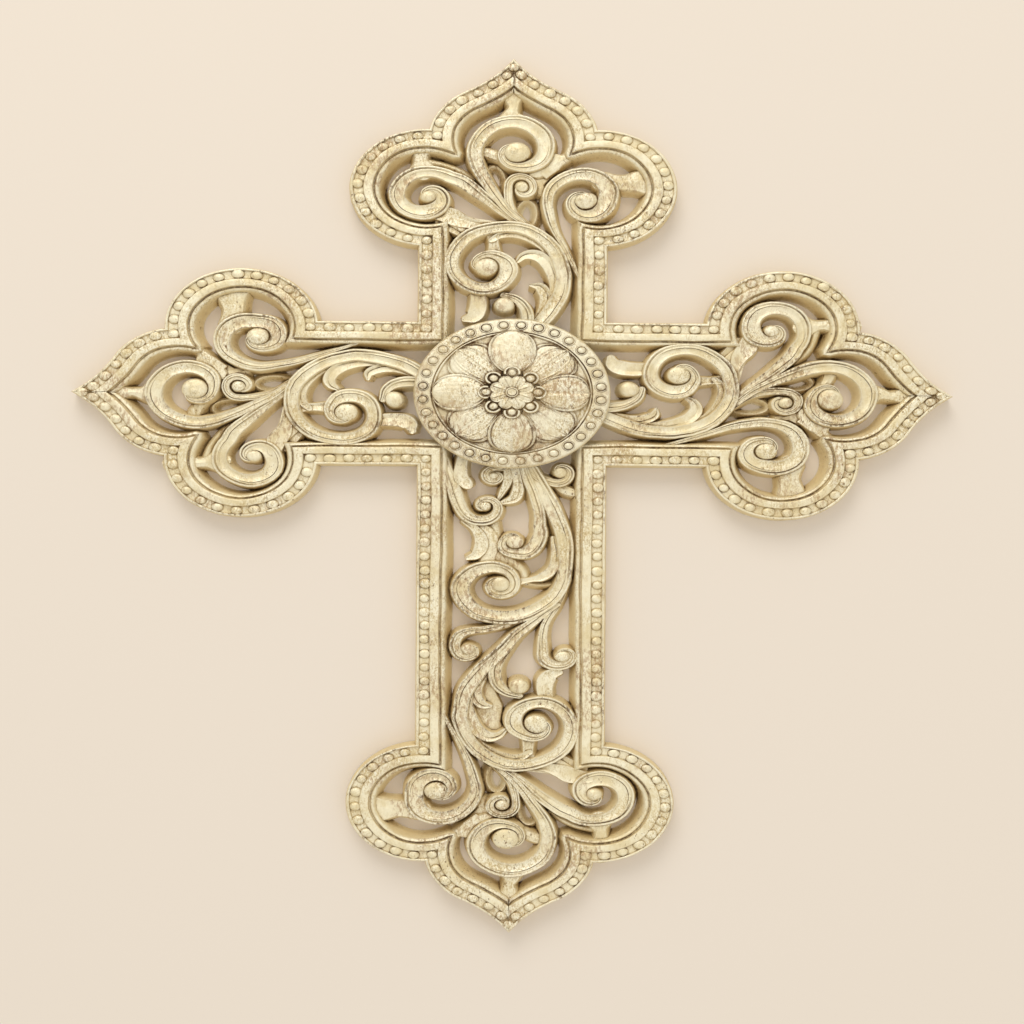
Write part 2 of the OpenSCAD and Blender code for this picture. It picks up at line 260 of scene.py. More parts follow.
def smooth(knots, n):
    """a smooth curve through the knots, n steps to each"""
    k = np.array(knots, float)
    k = np.vstack([2 * k[0] - k[1], k, 2 * k[-1] - k[-2]])
    out = [blend(k[i - 1], k[i], k[i + 1], k[i + 2], t / n) for i in range(1, len(k) - 2) for t in range(n)]
    return np.array(out + [k[-2]])


def winding(eye, knots):
    """coil about its eye through knots of (angle, radius, width), its end tucked under the boss"""
    a, r, w = knots[-1]
    way = 1 if a > knots[0][0] else -1
    k = smooth(list(knots) + [(a + way * 45, r * 0.72, w * 0.8), (a + way * 80, r * 0.4, w * 0.55)], 8)
    n = int(round(abs(k[-1, 0] - k[0, 0]) / 10.0))
    ang = np.linspace(k[0, 0], k[-1, 0], n + 1)
    r = np.interp(ang * way, k[:, 0] * way, k[:, 1])
    w = np.interp(ang * way, k[:, 0] * way, k[:, 2])
    t = np.radians(ang)
    return np.c_[eye[0] + r * np.cos(t), eye[1] + r * np.sin(t), w]


def ribbon_path(stem, eye, coil):
    """a stem through knots of (across, out, width), running on into its coil"""
    c = winding(eye, coil)
    return np.vstack([smooth(stem + [tuple(c[0]), tuple(c[3])], 6)[: 6 * len(stem)], c])


# Sections across a ribbon w wide at height h, outer side first: s is the side
# that is outer, and g is how deep its grooves are cut there.
def scroll_section(w, h, s, g):
    f = min(1.0, w / 7.0)
    return [(s * a, b) for a, b in [
        (w / 2 + 1.7, 0.0), (w / 2 + 0.35, h - 1.9), (w / 2 + 0.05, h + 0.1 * f),
        (w / 2 - 0.3 * f, h + 0.6 * f), (w / 2 - 0.8 * f, h + 0.7 * f), (w / 2 - 1.25 * f, h + 0.35 * f),
        (w / 2 - 1.5 * f, h + (0.25 - 0.6 * g) * f), (w / 2 - 1.85 * f, h + (0.25 - 0.55 * g) * f),
        (w / 2 - 2.15 * f, h + 0.15 * f), (w / 2 - 2.75 * f, h + 0.18 * f),
        (w / 2 - 3.0 * f, h + (0.05 - 0.45 * (1.1 - g)) * f), (w / 2 - 3.25 * f, h), (0.0, h - 0.55 * f),
        (-w * 0.22, h - 0.7 * f), (-w / 2 + 1.4 * f, h - 0.35 * f), (-w / 2 + 0.9 * f, h - 0.05 * f),
        (-w / 2 + 0.35 * f, h - 0.6 * f), (-w / 2 - 0.1, h - 2.0), (-w / 2 - 2.1, 0.0)]]


def leaf_section(w, h, s, g):
    f = min(1.0, w / 6.0)
    return [(s * a, b) for a, b in [
        (w / 2 + 1.6, 0.0), (w / 2 + 0.15, h - 1.8), (w / 2 - 0.05, h - 0.4), (w / 2 - 0.5 * f, h + 0.2),
        (w / 2 - 1.1 * f, h + 0.05), (w * 0.2, h - 0.6 * f), (w * 0.13, h - (0.5 + 0.5 * g) * f),
        (w * 0.06, h - 0.6 * f), (-w * 0.1, h - 0.55 * f), (-w * 0.28, h - 0.3 * f), (-w / 2 + 0.7 * f, h),
        (-w / 2 + 0.25 * f, h - 0.5), (-w / 2, h - 1.7), (-w / 2 - 1.8, 0.0)]]


def tie_section(w, h, s, g):
    return [(s * a, b) for a, b in [
        (w / 2 + 1.8, 0.0), (w / 2 + 0.3, h - 2.6), (w / 2 - 0.3, h - 1.1), (w / 2 - 1.2, h - 0.3),
        (w * 0.1, h - 0.15), (0.0, h + 0.05), (-w * 0.1, h - 0.15), (-w / 2 + 1.2, h - 0.3),
        (-w / 2 + 0.3, h - 1.1), (-w / 2 - 0.3, h - 2.6), (-w / 2 - 1.8, 0.0)]]


def rounded(path):
    """adds round ends to stations of (x, z, width)"""
    p = [tuple(q) for q in path]
    for end in (0, -1):
        (x0, z0, w), (x1, z1, _) = p[end], p[1 if end == 0 else -2]
        l = math.hypot(x0 - x1, z0 - z1)
        dx, dz = (x0 - x1) / l, (z0 - z1) / l
        cap = [(x0 + dx * w * 0.5 * math.sin(t), z0 + dz * w * 0.5 * math.sin(t), w * math.cos(t))
               for t in (0.45, 0.85, 1.15, 1.38)]
        p = cap[::-1] + p if end == 0 else p + cap
    return np.array(p)


def sweep(name, path, section, h, s=1, closed=False):
    """closed solids that carry a section along a path, split so none winds over itself"""
    if not closed:
        path = rounded(path)
    p = path[:, :2]
    d = np.roll(p, -1, 0) - np.roll(p, 1, 0) if closed else np.gradient(p, axis=0)
    d = d / np.linalg.norm(d, axis=1)[:, None]
    nrm = np.c_[-d[:, 1], d[:, 0]]
    ang = np.unwrap(np.arctan2(d[:, 1], d[:, 0]))
    run = np.r_[0, np.cumsum(np.linalg.norm(np.diff(p, axis=0), axis=1))]
    bend = np.zeros(len(p)) if closed else np.gradient(ang, run)
    start = random.uniform(0, 6)
    cuts = [0]
    if not closed:
        for i in range(1, len(p) - 1):
            if abs(ang[i] - ang[cuts[-1]]) > math.radians(LONGEST_TURN) and len(p) - i > 3:
                cuts.append(i)
    cuts.append(len(p) - 1)
    made = []
    for a, b in zip(cuts, cuts[1:]):
        stations = range(len(p)) if closed else range(a, b + 1)
        v, f = [], []
        for i in stations:
            groove = 0.62 + 0.38 * math.sin(run[i] * 0.12 + start)
            across = section(path[i, 2], h, s, groove)
            limit = 0.94 / abs(bend[i]) if abs(bend[i]) > 1e-4 else 1e9
            for q, up in across:
                if q * bend[i] > 0 and abs(q) > limit:
                    q = math.copysign(limit, q)
                v.append((p[i, 0] + nrm[i, 0] * q, p[i, 1] + nrm[i, 1] * q, up))
        m, n = len(across), len(stations)
        for i in range(n if closed else n - 1):
            f += skirt(i * m, (i + 1) % n * m, m)
        if not closed:
            f += [tuple(range(m)), tuple(range((n - 1) * m, n * m))[::-1]]
        made.append((name, v, f))
    return made


def boss_rings(r, h):
    return [(r + 1.6, 0.0), (r + 0.3, h - 1.6), (r, h - 0.2), (r - 0.4, h + 0.4), (r * 0.78, h + 0.9),
            (r * 0.5, h + 1.25), (r * 0.22, h + 1.4), (0, h + 1.45)]


def ellipse(c, rx, rz, w, n=24):
    around = [2 * math.pi * i / n for i in range(n)]
    return np.array([(c[0] + rx * math.cos(t), c[1] + rz * math.sin(t), w) for t in around])


def slab(name, outline, h):
    """a flat web with leaning sides and a rounded rim"""
    n = len(outline)
    cx, cz = sum(x for x, z in outline) / n, sum(z for x, z in outline) / n
    v, f = [], []
    for out, up in ((1.0, 0.0), (0.3, h - 1.0), (0.0, h - 0.3), (-0.6, h)):
        for x, z in outline:
            l = math.hypot(x - cx, z - cz)
            v.append((x + (x - cx) / l * out, z + (z - cz) / l * out, up))
    for k in range(3):
        f += skirt(k * n, (k + 1) * n, n)
    return [(name, v, f + [tuple(range(n))[::-1], tuple(range(3 * n, 4 * n))])]


# (stem knots, eye, coil knots, outer side, height over LEVEL, boss radius)
end_scrolls = [
    ([(5, 112, 3.5), (-2, 119.5, 4.5), (-8.5, 129.5, 5.5), (-14.5, 140.5, 7)], (2, 158),
     [(200, 21.8, 8), (145, 20.9, 8.6), (90, 19.6, 9), (0, 14, 8.8), (-60, 10.6, 7.6), (-100, 9.2, 5.4),
      (-170, 8, 3.6)], 1, 0.25, 6.6),
    ([(0, 113, 3), (-8, 121.5, 5), (-16.5, 130.5, 7), (-24.5, 137.5, 8)], (-42, 128.5),
     [(50, 16.4, 8), (90, 16.6, 7.6), (180, 15.4, 9), (270, 9.8, 10), (345, 7.2, 8), (430, 5, 5)],
     -1, 0.0, 4.0),
    ([(33, 77, 1.5), (29.5, 86, 2.5), (25.5, 96, 3.5), (21, 107, 4.5), (18.2, 118, 5.5)], (36.5, 126.5),
     [(180, 19.2, 6.2), (90, 17.4, 9), (40, 13.2, 10), (0, 10.2, 10), (-90, 10.2, 8.4), (-150, 8.2, 6),
      (-200, 6.8, 4)], 1, 0.1, 5.6),
    ([(8, 110, 2.5), (3, 115.5, 3), (-0.5, 121, 4), (-2.5, 128, 4.5)], (4.2, 136),
     [(180, 7, 4.6), (90, 6.4, 4.3), (0, 5.9, 4.3), (-80, 5.2, 3.6)], 1, -0.5, 3.6),
    ([(-24, 4, 2), (-19, 8.5, 3.5), (-13, 14, 5), (-3, 24, 6.5), (6.8, 37.3, 7.6), (16.3, 50, 8.4),
      (22, 61.5, 8.6), (24.4, 72.5, 8.4)], (-13, 82.5),
     [(0, 37.2, 8.2), (50, 31.6, 8), (90, 25.6, 7.6), (135, 20, 7.8), (180, 16.8, 7.8), (225, 15.2, 8),
      (270, 13.8, 7.8), (310, 12.6, 8.6), (345, 11.4, 9.4), (375, 10.4, 9), (405, 9.2, 7), (450, 8.2, 5),
      (495, 7, 3.8)], -1, 0.45, 5.8)]
ball_sprig = [
    (-6, 22, 4), (0, 30, 5), (5, 39, 6), (7.5, 48, 7), (6.3, 56.5, 6.6), (2, 62, 5.6), (-4, 64.3, 4)]
# small round knobs that stand on two of the bosses: (place, radius, height)
boss_knobs = [((0.4, 158.6), 2.6, 10.0), ((35.6, 127.4), 3.0, 9.7)]
# (knots of (across, out, width), outer side, height over LEVEL)
end_leaves = [
    ([(-10, 107, 8), (-9.5, 100, 5.5), (-9.2, 92, 7)], 1, -1.2),
    ([(-10, 101, 4), (-6, 104, 5), (1, 104.6, 6), (9, 102, 7), (15.5, 96.5, 7), (20, 88, 6), (22, 78, 4)],
     1, -0.9),
    ([(2.5, 87, 3), (5.5, 90.3, 5.5), (10, 91.2, 7.2), (15, 88, 7.6), (18.5, 81, 6.6), (20, 72, 5),
      (19.5, 62, 3.5)], 1, -0.6),
    ([(9.5, 71.5, 2.5), (13.5, 70.5, 6), (16.5, 65, 7), (16.5, 58, 7), (13, 49, 6)], 1, -0.9),
    ([(-17.5, 68, 8), (-17, 60, 9), (-17.8, 54, 9.6), (-20.2, 50.5, 8.4), (-23.8, 49.3, 4.6)], 1, -0.7),
    ([(-38, 118, 8), (-31, 116.5, 11), (-25, 113, 9), (-18, 111, 6), (-10, 111, 4)], 1, -0.4),
    ([(-36, 112, 5), (-31, 109, 6), (-24, 104, 5)], 1, -1.4)]
# the waisted ties that hold the coils to the frame: (knots, height)
end_ties = [
    ([(-1, 181, 15), (-1, 184, 9), (0, 188, 6.5), (0, 192, 9), (0, 196, 15), (0, 201, 22)], 9.0),
    ([(-45, 147, 15), (-45.5, 151, 9), (-46, 154.5, 7.5), (-46, 158.5, 10), (-46, 165, 18)], 8.7),
    ([(-44, 152, 5), (-35, 150, 4), (-27, 145.5, 4), (-21, 141, 3)], 7.8),
    ([(46, 139, 15), (51, 138.8, 12), (56, 138.8, 11.5), (61, 139.5, 14), (68, 140, 20)], 8.2),
    ([(12, 146, 9), (19, 150, 8.5), (28, 157, 6)], 8.4),
    ([(4, 148, 5), (11, 142, 7.5), (14.5, 133, 6)], 7.0),
    ([(-17, 159, 8), (-10, 157, 7), (-3, 152, 5)], 7.0)]
# rims round the two small openings at the fork: (centre, half width, half height, height)
fork_rims = [((-9.6, 140), 5.7, 10.4, 4.2), ((6.6, 119), 5.3, 9.6, 4.4)]
# flat webs that fill the gaps between stems: (outline, height)
webs = [
    ([(12, 146), (21, 158), (27, 156), (23, 148), (17, 142)], 8.2),
    ([(3, 147), (15, 150), (21, 146), (15, 137), (11, 131), (8, 140)], 6.6),
    ([(-36, 119), (-30, 121), (-26, 118), (-18, 115), (-8, 113.5), (-14, 109), (-24, 105), (-31, 111)], 8.5)]

end_solids = []
for stem, eye, coil, side, up, r in end_scrolls:
    end_solids += sweep("scroll", ribbon_path(stem, eye, coil), scroll_section, LEVEL + up, side)
    end_solids += turned("boss", eye, boss_rings(r, LEVEL + up - 0.3))
end_solids += sweep("sprig", smooth(ball_sprig, 7), scroll_section, LEVEL - 0.3, -1)
end_solids += turned("boss", (-4, 58.2), boss_rings(5.0, LEVEL - 0.2))
for centre, r, h in boss_knobs:
    end_solids += turned("boss_knob", centre, boss_rings(r, h))
for knots, side, up in end_leaves:
    end_solids += sweep("leaf", smooth(knots, 6), leaf_section, LEVEL + up, side)
for knots, h in end_ties:
    end_solids += sweep("tie", smooth(knots, 5), tie_section, h)
for centre, rx, rz, h in fork_rims:
    end_solids += sweep("web", ellipse(centre, rx, rz, 3.4), tie_section, h, closed=True)
for outline, h in webs:
    end_solids += slab("web", outline, h)


def on_arm(k):
    """puts points of the pattern on arm k, with that arm's own unevenness"""
    def place(s, r, h):
        x, z = ARM_TURNS[k](s, r)
        wx, wz = waver(x * 1.3 + 40 * k, z * 1.3 - 25 * k)
        return lay(x + 1.2 * wx, z + 1.2 * wz, h)
    return place


for k in range(4):
    bits += cast(end_solids, on_arm(k))

# ---------------------------------------------------------------- foot scrollwork
# The further scrolls that fill the long foot arm between the medallion and
# the lowest arm end, cast in one with the rest: two large coils, a small
# middle one, hooked leaves under the medallion and two side sprigs.
HUB_R = 34
foot_scrolls = [
    ([(-34, -42, 6), (-30, -57, 7.5), (-27.3, -68, 7.5)], (-13, -73.5),
     [(192, 11.8, 7.2), (230, 10.6, 7), (270, 9.2, 6.5), (360, 6.2, 5), (450, 4.4, 3.5), (540, 3.4, 3)],
     -1, -0.3, 3.0),
    ([(0, -42, 5), (-3.5, -47.5, 5)], (-8.5, -53.5),
     [(90, 4.4, 4.5), (180, 4, 4.5), (270, 3.6, 4.5), (330, 3, 4)], -1, -0.9, 2.4),
    ([(4.5, -42, 4), (7.5, -55, 5), (11, -65, 5.5), (13.8, -76, 6)], (2, -96.5),
     [(40, 15.8, 6.5), (0, 11.4, 8.2), (-45, 9.2, 8.2), (-90, 7.6, 6.6), (-150, 7.4, 5), (-200, 5.8, 3.6),
      (-250, 5, 2.5)], 1, 0.0, 4.6),
    ([(7, -42, 5), (12.5, -55, 7), (17.5, -67, 8), (22, -79, 8.5), (25.5, -91, 8.5), (27.3, -103, 7.8)],
     (-5.5, -124.5),
     [(16, 33.6, 7.4), (-13, 28.6, 8), (-40, 24, 8.6), (-90, 21.6, 9), (-123, 21.2, 9.2), (-170, 19.6, 9.6),
      (-206, 16.6, 9.4), (-239, 13, 8.6), (-290, 9.4, 7), (-360, 6.9, 6), (-450, 6.9, 5.4), (-540, 5.3, 4)],
     1, 0.4, 4.8),
    ([(6, -42, 3), (9.5, -50.5, 4), (14, -55, 5)], (24, -51),
     [(225, 8, 5), (270, 6.4, 5.4), (350, 4.8, 5), (435, 3.6, 4)], -1, -0.2, 3.6),
    ([(28, -123, 2), (26.5, -130, 3), (22.5, -139, 4), (18, -148, 4.4), (15.8, -158, 5)], (25.5, -171.5),
     [(165, 10, 6), (195, 8.8, 6.4), (225, 7.4, 6.6), (270, 6, 6), (350, 4.8, 5), (430, 4, 4)],
     -1, -0.2, 4.0),
    ([(14, -142, 2), (4, -148.5, 3), (-5, -152, 4)], (-21, -167),
     [(62, 14, 4.4), (85, 11.6, 5), (110, 10.2, 5.8), (150, 7.6, 6), (190, 6, 6), (235, 5.8, 5.4),
      (285, 5, 4.4), (340, 4, 3.5)], -1, -0.3, 3.8)]
foot_leaves = [
    ([(-24, -40, 6), (-25, -48, 7), (-25, -55, 8.5), (-22.5, -59, 7.5)], 1, -0.4),
    ([(-1, -42, 6), (-1.5, -50, 6), (-2, -58, 5), (-4, -64, 3.5), (-6, -68.5, 2)], 1, -1.2),
    ([(1, -46, 5), (3, -57, 5), (3.4, -64, 6.5), (1.5, -68.5, 6), (-4, -71, 3)], 1, -0.7),
    ([(21, -94, 3), (22.5, -105, 5), (21, -114, 6), (16, -119.5, 6), (10, -121.5, 3.5), (3, -123, 5)],
     1, -0.7),
    ([(-24, -83, 3), (-18.5, -88, 5), (-15.4, -94, 7), (-15.2, -100, 7.4), (-17.4, -105, 6),
      (-21.5, -107, 3)], -1, -0.2)]
foot_ties = [
    ([(-16, -86, 8), (-10.5, -93, 9), (-10, -101, 8), (-12, -109, 9)], 8.6),
    ([(-10, -104, 8), (-1, -109.5, 7), (5, -115, 5), (7, -123, 5)], 7.9),
    ([(-9, -84, 6), (-7.5, -91, 5), (-7, -98, 5)], 7.4),
    ([(6, -123, 5), (12, -125, 4), (20, -125, 4)], 6.0),
    ([(22, -59, 6), (26, -62, 7.5), (30, -64, 7)], 7.2)]
# the low ground under the leaves beside the lowest coil
leafy_field = [(3, 90), (8, 94), (14, 94), (20, 88), (22, 80), (22, 62), (14, 50), (8, 60), (4, 72), (5, 82)]

foot_solids = []
for stem, eye, coil, side, up, r in foot_scrolls:
    foot_solids += sweep("foot_scroll", ribbon_path(stem, eye, coil), scroll_section, LEVEL + up, side)
    foot_solids += turned("foot_boss", eye, boss_rings(r, LEVEL + up - 0.3))
for knots, side, up in foot_leaves:
    foot_solids += sweep("foot_leaf", smooth(knots, 7), leaf_section, LEVEL + up, side)
for knots, h in foot_ties:
    foot_solids += sweep("foot_tie", smooth(knots, 6), tie_section, h)
foot_solids += slab("leafy_field", [ARM_TURNS[2](s, r) for s, r in leafy_field], 5.0)
# the plain hub that the medallion sits on
foot_solids += slab("hub", arc((0, 0), HUB_R, 0, 2 * math.pi, 48, range(48)), FRONT - 0.05)


def on_foot(x, z, h):
    wx, wz = waver(x * 1.3 + 17, z * 1.3)
    return lay(x + wx, z + wz, h)


bits += cast(foot_solids, on_foot)

# ---------------------------------------------------------------- one casting
# Frame, beads and scrolls come out of the mould as one piece of iron, so they
# are joined into a single closed body, with the blind nail hole in its back.
NAIL_R = 0.0025


def apply_boolean(body, operation, **operand):
    bpy.ops.object.select_all(action="DESELECT")
    bpy.context.view_layer.objects.active = body
    cut = body.modifiers.new("cut", "BOOLEAN")
    cut.operation = operation
    cut.solver = "MANIFOLD"
    for setting, value in operand.items():
        setattr(cut, setting, value)
    bpy.ops.object.modifier_apply(modifier="cut")


def weld(body, bits):
    """joins the bits to the body, as one closed solid"""
    heap = bpy.data.collections.new("heap")
    bpy.context.scene.collection.children.link(heap)
    for o in bits:
        bpy.context.scene.collection.objects.unlink(o)
        heap.objects.link(o)
    apply_boolean(body, "UNION", operand_type="COLLECTION", collection=heap)
    for o in bits:
        bpy.data.objects.remove(o)
    bpy.data.collections.remove(heap)


def finish_skin(o, box, depth):
    """clears grains left by the join, then roughens the front like a sand casting"""
    bm = bmesh.new()
    bm.from_mesh(o.data)
    bm.verts.ensure_lookup_table()
    left = set(bm.verts)
    shells = []
    while left:
        shell = {left.pop()}
        edge_of = list(shell)
        while edge_of:
            here = edge_of.pop()
            for e in here.link_edges:
                there = e.other_vert(here)
                if there in left:
                    left.discard(there)
                    shell.add(there)
                    edge_of.append(there)
        shells.append(shell)
    shells.sort(key=len)
    bmesh.ops.delete(bm, geom=[q for shell in shells[:-1] for q in shell], context="VERTS")
    lo, hi = box
    for q in bm.verts:
        if q.co.y > hi.y - 0.0012:
            continue
        q.co += hmath.noise_vector(q.co * 330) * depth + hmath.noise_vector(q.co * 110) * depth
        q.co = Vector(min(max(q.co[i], lo[i]), hi[i]) for i in range(3))
    bm.to_mesh(o.data)
    bm.free()


casting = frame_band
casting.name = "openwork_casting"
weld(casting, bits)
bpy.ops.mesh.primitive_cylinder_add(
    vertices=40, radius=NAIL_R, depth=0.009,
    location=(0, cast_hi.y - 0.0025, 0), rotation=(math.pi / 2, 0, 0))
drill = bpy.context.object
bpy.ops.object.transform_apply(location=True, rotation=True, scale=True)
apply_boolean(casting, "DIFFERENCE", object=drill)
bpy.data.objects.remove(drill)
finish_skin(casting, (cast_lo, cast_hi), 0.00011)
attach(casting, "root")
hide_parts("cross_casting")

# ---------------------------------------------------------------- oval medallion
# A separate cast disc, fixed over the crossing: domed, with ringed pearls in
# its border and four petals laid over four broader ones about a small rosette.
EDGE_H, DOME_H = 3.1, 3.4       # its edge over the seat, and its middle over its edge
ON_SEAT = -9                    # marks a point that lies down on the seat
med_lo, med_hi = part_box("medallion")
seat_h = (cast_hi.y - med_hi.y) / unit_h
med_r = (med_hi.x - med_lo.x) / 2 / unit_x


def swell(r):
    """height of the dome over its seat at radius r"""
    return EDGE_H + DOME_H * (1 - min(r / med_r, 1.0) ** 2)


def on_dome(x, z, c):
    """a point c above the dome, or down on the seat"""
    return lay(x, z, seat_h + (0.0 if c == ON_SEAT else swell(math.hypot(x, z)) + c))


# (radius, height over the dome), from the middle out to the edge and down to the seat
disc_rings = [
    (4.0, -1.2), (9.0, -1.2), (14.0, -1.2), (20.0, -1.2), (26.0, -1.2), (32.0, -1.2), (36.0, -1.1),
    (37.9, -0.9), (38.3, -0.3), (38.8, 0.0), (39.2, -0.05), (39.45, -0.7), (39.75, -0.75), (40.0, -0.1),
    (40.5, 0.1), (42.0, 0.0), (44.2, -0.05), (46.4, 0.0), (47.2, 0.1), (47.8, -0.1), (48.35, -0.7),
    (med_r, -1.6), (med_r, ON_SEAT)]
seg = 180
around = [2 * math.pi * i / seg for i in range(seg)]
verts = [on_dome(0, 0, -1.2)]
verts += [on_dome(r * math.cos(t), r * math.sin(t), c) for r, c in disc_rings for t in around]
faces = [(0, 1 + i, 1 + (i + 1) % seg) for i in range(seg)]
last = 1 + (len(disc_rings) - 1) * seg
for a in range(1, last, seg):
    b = a + seg
    faces += [(a + i, b + i, b + (i + 1) % seg, a + (i + 1) % seg) for i in range(seg)]
faces.append(tuple(last + i for i in range(seg)))
medallion = new_piece("oval_medallion", verts, faces)


def petal_path(angle, r0, r1, width, wide_at, base):
    """straight stations out along a petal, egg shaped: widest at wide_at"""
    out = []
    for i in range(27):
        t = (1 - math.cos(math.pi * i / 26)) / 2
        r = r0 + (r1 - r0) * t
        if r < wide_at:
            q = (wide_at - r) / (wide_at - r0)
            w = base + (width - base) * (1 - q * q) ** 0.75
        else:
            q = (r - wide_at) / (r1 - wide_at)
            w = width * math.sqrt(max(1 - q ** 2.3, 0.0016))
        a = math.radians(angle)
        out.append((r * math.cos(a), r * math.sin(a), w))
    return np.array(out)


def petal_section(lift, crown, veins, ripple, crease):
    """a crowned petal with a raised rim, fine veins, and a crease down its middle"""
    def section(w, h, s, g):
        m = 30
        f = min(1.0, w / 8.0)
        top = []
        for i in range(m + 1):
            u = 1 - 2 * i / m
            e = (1 - abs(u)) * w / 2
            rim = 0.32 * math.exp(-((e - 0.55) / 0.45) ** 2) - 0.3 * math.exp(-((e - 1.5) / 0.5) ** 2)
            vein = ripple * math.cos(veins * math.pi * u)
            z = lift + crown * (1 - u * u) + f * (rim + vein - crease * math.exp(-(u / 0.09) ** 2))
            top.append((u * w / 2, z * (0.35 + 0.65 * f)))
        return [(w / 2 + 0.3, -2.2)] + top + [(-w / 2 - 0.3, -2.2)]
    return section


def lip_section(w, h, s, g):
    return [(w / 2 + 0.3, -2), (w / 2, 2.1), (w / 4, 2.6), (-w / 4, 2.6), (-w / 2, 2.1), (-w / 2 - 0.3, -2)]


# (how far out it reaches, crown, veins, ripple, crease), for each petal in front
front_petals = [
    (38.3, 0.5, 11, 0.10, 0.6), (40.2, 0.9, 3, 0.03, 0.0),
    (39.4, 0.9, 9, 0.06, 0.0), (38.4, 0.7, 13, 0.15, -0.5)]
knob_rings = [(2.5, -2.0), (2.4, 1.3), (2.1, 2.2), (1.5, 2.75), (0.8, 3.0), (0, 3.05)]
rosette_rings = [
    (3.5, -2.0), (3.4, 1.8), (3.0, 2.6), (2.7, 2.7), (2.4, 2.4), (2.0, 2.8), (1.1, 3.1), (0, 3.15)]
pearl_rings = [
    (3.25, -2.0), (3.2, 0.15), (3.0, 0.42), (2.75, 0.4), (2.6, 0.0), (2.35, -0.1), (2.15, 0.45), (1.5, 0.95),
    (0.7, 1.15), (0, 1.2)]
PEARLS = 32
PEARL_LINE = 44.1       # from the middle to the pearls' centres

trims = []
for k in range(4):
    petal = petal_path(45 + 90 * k, 12, 38.4, 26, 28, 8)
    trims += cast(sweep("petal_behind", petal, petal_section(0.2, 0.5, 13, 0.15, 0.35), 0), on_dome)
for k, (reach, crown, veins, ripple, crease) in enumerate(front_petals):
    petal = petal_path(90 * k, 13.5, reach, 23.6, 27.5, 8)
    trims += cast(sweep("petal_front", petal, petal_section(1.1, crown, veins, ripple, crease), 0), on_dome)
for k in range(8):
    a = math.radians(45 * k)
    cx, cz = 12.9 * math.cos(a), 12.9 * math.sin(a)
    open_ring = [a + math.radians(t) for t in range(-100, 101, 10)]
    lip = np.array([(cx + 3.5 * math.cos(t), cz + 3.5 * math.sin(t), 1.35) for t in open_ring])
    sepal = petal_path(45 * k + 22.5, 1.5, 11.4, 7.4, 8.2, 3.5)
    trims += cast(sweep("rosette_lip", lip, lip_section, 0), on_dome)
    trims += cast(turned("rosette_knob", (cx, cz), knob_rings, 16), on_dome)
    trims += cast(sweep("sepal", sepal, petal_section(1.5, 0.8, 3, 0.1, 0.45), 0), on_dome)
trims += cast(turned("rosette_boss", (0, 0), rosette_rings, 24), on_dome)
for i in range(PEARLS):
    a = 2 * math.pi * (i + 0.5) / PEARLS
    size = random.uniform(0.94, 1.06)
    centre = (PEARL_LINE * math.cos(a), PEARL_LINE * math.sin(a))
    trims += cast(turned("border_pearl", centre, [(r * size, h) for r, h in pearl_rings], 18), on_dome)
weld(medallion, trims)
finish_skin(medallion, (med_lo, med_hi), 0.00007)
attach(medallion, "root")
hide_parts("medallion")

for o in (casting, medallion):
    bpy.ops.object.select_all(action="DESELECT")
    o.select_set(True)
    bpy.context.view_layer.objects.active = o
    bpy.ops.object.shade_smooth_by_angle(angle=math.radians(34))

# ---------------------------------------------------------------- leaf finish
# Pale champagne metal leaf laid over a red-brown ground, rubbed through in
# places, with umber glaze and painted shade in every crease, glaze in the pits,
# a painted shade over the broader hollows and a painted highlight on the rubbed
# edges. The drafted walls are a flatter tan, and the back is left in the plain
# brown ground.
DULL_LEAF, BRIGHT_LEAF = (0.44, 0.30, 0.11), (0.95, 0.91, 0.74)
RED_GROUND = (0.44, 0.28, 0.14)
# the first rim colour is rubbed bright leaf together with a painted highlight on the convex edges; the second
# is leaf worn through
RUBBED_RIM_AND_HIGHLIGHT, WORN_RIM = (0.95, 0.90, 0.72), (0.15, 0.085, 0.035)
WALL_TAN = (0.74, 0.59, 0.31)
# the first dark is painted shade over the broad hollows, the second is glaze in the pits, the third is umber
# glaze together with painted shade in the creases
HOLLOW_SHADE, PIT_GLAZE, DEEP_GLAZE_AND_SHADE = (0.43, 0.28, 0.08), (0.20, 0.105, 0.03), (0.13, 0.062, 0.014)
BACK_BROWN, BACK_DARK = (0.33, 0.235, 0.14), (0.25, 0.185, 0.125)


def new_group(name, outputs, inputs=()):
    g = bpy.data.node_groups.new(name, "ShaderNodeTree")
    for n in outputs:
        g.interface.new_socket(n, in_out="OUTPUT", socket_type="NodeSocketFloat")
    for n in inputs:
        g.interface.new_socket(n, in_out="INPUT", socket_type="NodeSocketFloat")
    return g, g.nodes.new("NodeGroupOutput").inputs


def node(tree, kind, **set_to):
    n = tree.nodes.new(kind)
    for k, val in set_to.items():
        setattr(n, k, val)
    return n


def feed(tree, socket, value):
    if isinstance(value, (int, float)):
        socket.default_value = value
    elif isinstance(value, tuple):
        socket.default_value = (*value, 1)
    else:
        tree.links.new(value, socket)


def noise(tree, scale, detail=4.0, rough=0.55, stretch=None):
    co = node(tree, "ShaderNodeTexCoord").outputs["Object"]
    if stretch:
        mp = node(tree, "ShaderNodeMapping")
        mp.inputs["Scale"].default_value = stretch
        mp.inputs["Rotation"].default_value = (0, math.radians(35), 0)
        tree.links.new(co, mp.inputs["Vector"])
        co = mp.outputs["Vector"]
    n = node(tree, "ShaderNodeTexNoise")
    n.inputs["Scale"].default_value = scale
    n.inputs["Detail"].default_value = detail
    n.inputs["Roughness"].default_value = rough
    tree.links.new(co, n.inputs["Vector"])
    return n.outputs["Fac"]


